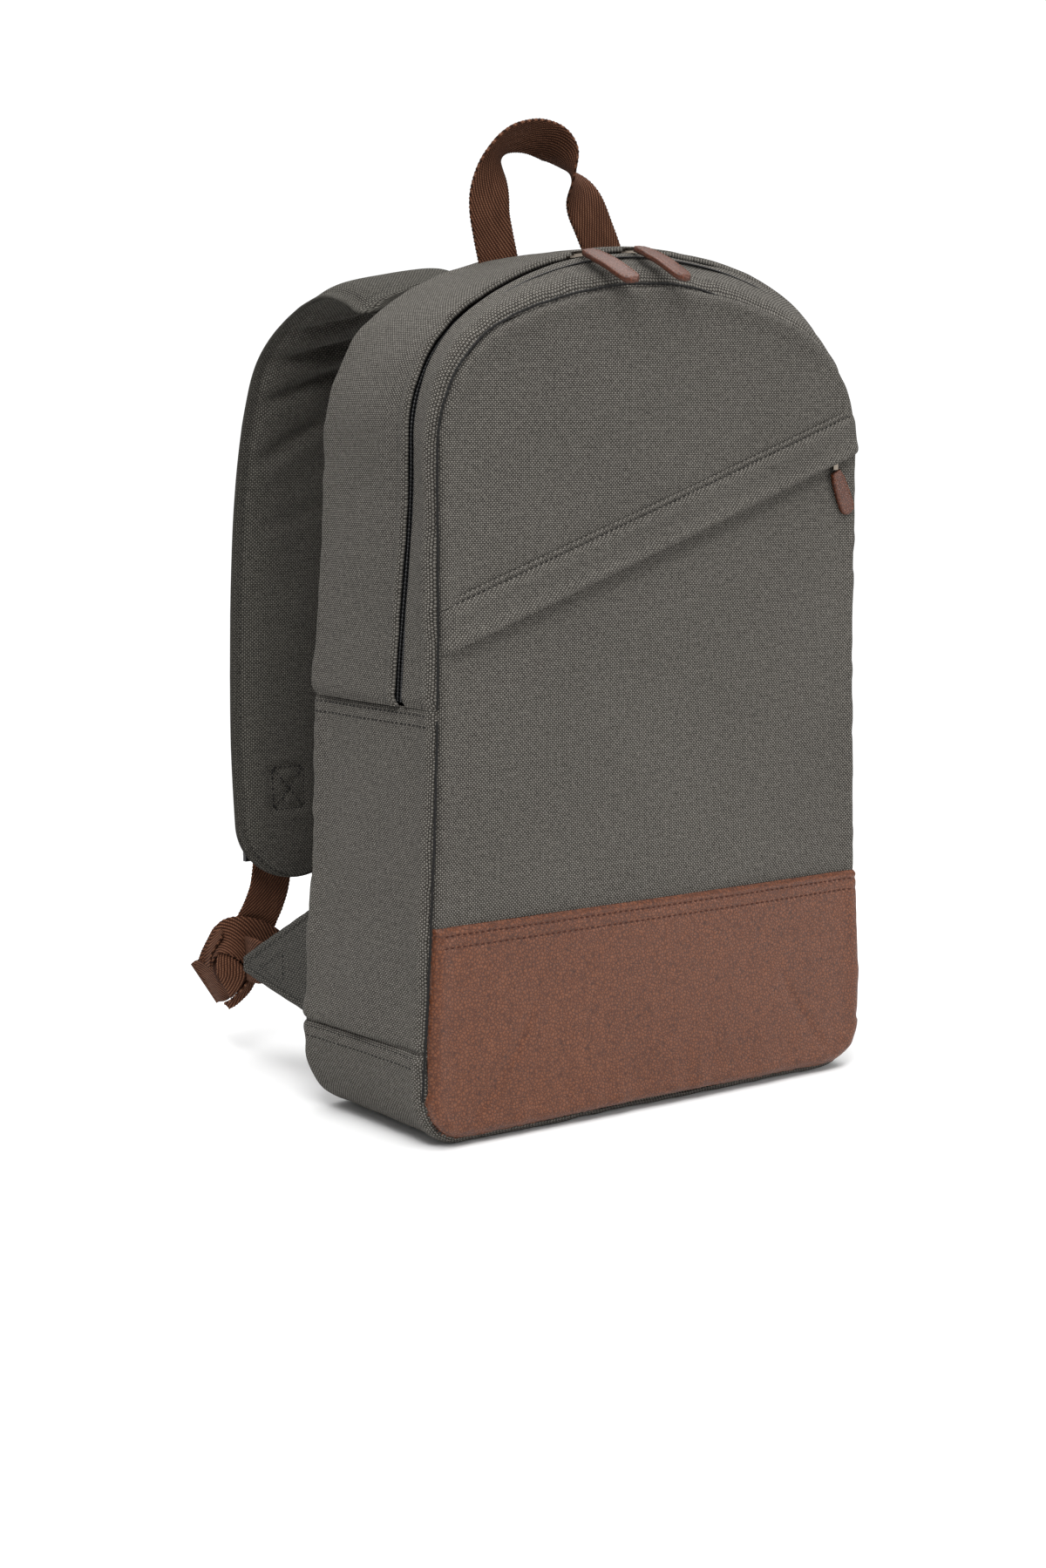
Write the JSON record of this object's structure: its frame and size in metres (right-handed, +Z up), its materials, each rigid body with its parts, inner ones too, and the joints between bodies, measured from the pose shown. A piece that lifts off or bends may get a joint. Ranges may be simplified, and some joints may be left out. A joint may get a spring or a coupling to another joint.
{
  "type": "travel backpack",
  "caption": "Arched canvas backpack with a faux leather base, zip-open front, diagonal front pocket zip, padded shoulder straps and a webbing grab handle.",
  "frame": {"origin": "middle of the flat underside the pack stands on", "axes": "+Z up to the grab handle, -Y out of the front panel, +Y towards the shoulder straps, +X to the right of someone looking at the front"},
  "size_m": [0.3066, 0.3004, 0.5165],
  "materials": {
    "canvas": "plain-weave cotton canvas, mid grey",
    "faux_leather": "pebbled brown faux leather, satin",
    "webbing": "brown twill webbing",
    "lining": "smooth dark lining",
    "foam": "padding",
    "zip_tape": "black zip tape",
    "zip_coil": "black coil",
    "metal": "darkened metal",
    "buckle": "black moulded plastic",
    "hook_loop": "hook-and-loop tape"
  },
  "bodies": {
    "bag": {"back_panel": "canvas", "back_foam": "foam", "back_lining": "lining", "bottom_panel": "canvas", "side_panel_left": "canvas", "side_panel_right": "canvas", "rear_gusset": "canvas", "main_zip_tape_rear": "zip_tape", "main_zip_coil_rear": "zip_coil", "leather_base_panel": "faux_leather", "front_lower_panel": "canvas", "laptop_sleeve": "lining", "sleeve_bottom_hem": "lining", "sleeve_side_left": "lining", "sleeve_side_right": "lining", "hook_patch": "hook_loop", "corner_tab_left": "canvas", "corner_tab_right": "canvas", "anchor_webbing_left": "webbing", "anchor_webbing_right": "webbing", "webbing_knot_left": "webbing", "webbing_knot_right": "webbing"},
    "front_flap": {"front_upper_panel": "canvas", "front_pocket_panel": "canvas", "pocket_placket": "canvas", "placket_seam": "canvas", "pocket_zip_tape_upper": "zip_tape", "pocket_zip_tape_lower": "zip_tape", "pocket_zip_coil_upper": "zip_coil", "pocket_zip_coil_lower": "zip_coil", "pocket_lining": "lining", "front_gusset": "canvas", "main_zip_tape_front": "zip_tape", "main_zip_coil_front": "zip_coil"},
    "main_slider_left": {"slider_left": "metal"},
    "main_slider_right": {"slider_right": "metal"},
    "main_pull_left": {"pull_left": "faux_leather"},
    "main_pull_right": {"pull_right": "faux_leather"},
    "pocket_slider_body": {"pocket_slider": "metal"},
    "pocket_pull_body": {"pocket_pull": "faux_leather"},
    "handle": {"grab_handle": "webbing"},
    "strap_left": {"strap_cover_left": "canvas", "strap_foam_left": "foam", "lock_keeper_left": "webbing", "ladder_lock_left": "buckle", "adjuster_webbing_left": "webbing"},
    "strap_right": {"strap_cover_right": "canvas", "strap_foam_right": "foam", "lock_keeper_right": "webbing", "ladder_lock_right": "buckle", "adjuster_webbing_right": "webbing"},
    "tab": {"sleeve_tab": "webbing"}
  },
  "joints": [
    {"name": "front_flap_open", "type": "hinge", "parent": "bag", "child": "front_flap", "pos_m": [0, -0.056, 0.21633], "axis": [1, 0, 0], "range_deg": [0, 70]},
    {"name": "slider_left_run", "type": "hinge", "parent": "bag", "child": "main_slider_left", "pos_m": [0, -0.024, 0.2415], "axis": [0, 1, 0], "range_deg": [-17.5, 0]},
    {"name": "slider_right_run", "type": "hinge", "parent": "bag", "child": "main_slider_right", "pos_m": [0, -0.024, 0.2415], "axis": [0, 1, 0], "range_deg": [0, 28.5]},
    {"name": "pull_left_lift", "type": "hinge", "parent": "main_slider_left", "child": "main_pull_left", "pos_m": [-0.03319, -0.035, 0.44197], "axis": [0.9866, 0, 0.1633], "range_deg": [-75, 0]},
    {"name": "pull_right_lift", "type": "hinge", "parent": "main_slider_right", "child": "main_pull_right", "pos_m": [0, -0.035, 0.4447], "axis": [1, 0, 0], "range_deg": [-75, 0]},
    {"name": "pocket_slider_run", "type": "slide", "parent": "front_flap", "child": "pocket_slider_body", "axis": [-0.9439, 0, -0.3304], "range_m": [0, 0.235]},
    {"name": "pocket_pull_lift", "type": "hinge", "parent": "pocket_slider_body", "child": "pocket_pull_body", "pos_m": [0.118, -0.0583, 0.33185], "axis": [1, 0, 0], "range_deg": [-50, 0]},
    {"name": "handle_swing", "type": "hinge", "parent": "bag", "child": "handle", "pos_m": [0, 0.042, 0.445], "axis": [1, 0, 0], "range_deg": [-75, 75], "stiffness_Nm_per_rad": 0.006},
    {"name": "strap_left_swing", "type": "hinge", "parent": "bag", "child": "strap_left", "pos_m": [-0.074, 0.0542, 0.4392], "axis": [1, 0, 0], "range_deg": [0, 5]},
    {"name": "strap_right_swing", "type": "hinge", "parent": "bag", "child": "strap_right", "pos_m": [0.074, 0.0542, 0.4392], "axis": [1, 0, 0], "range_deg": [0, 5]},
    {"name": "sleeve_tab_lift", "type": "hinge", "parent": "bag", "child": "tab", "pos_m": [0, 0.0443, 0.302], "axis": [1, 0, 0], "range_deg": [-75, 0]}
  ]
}
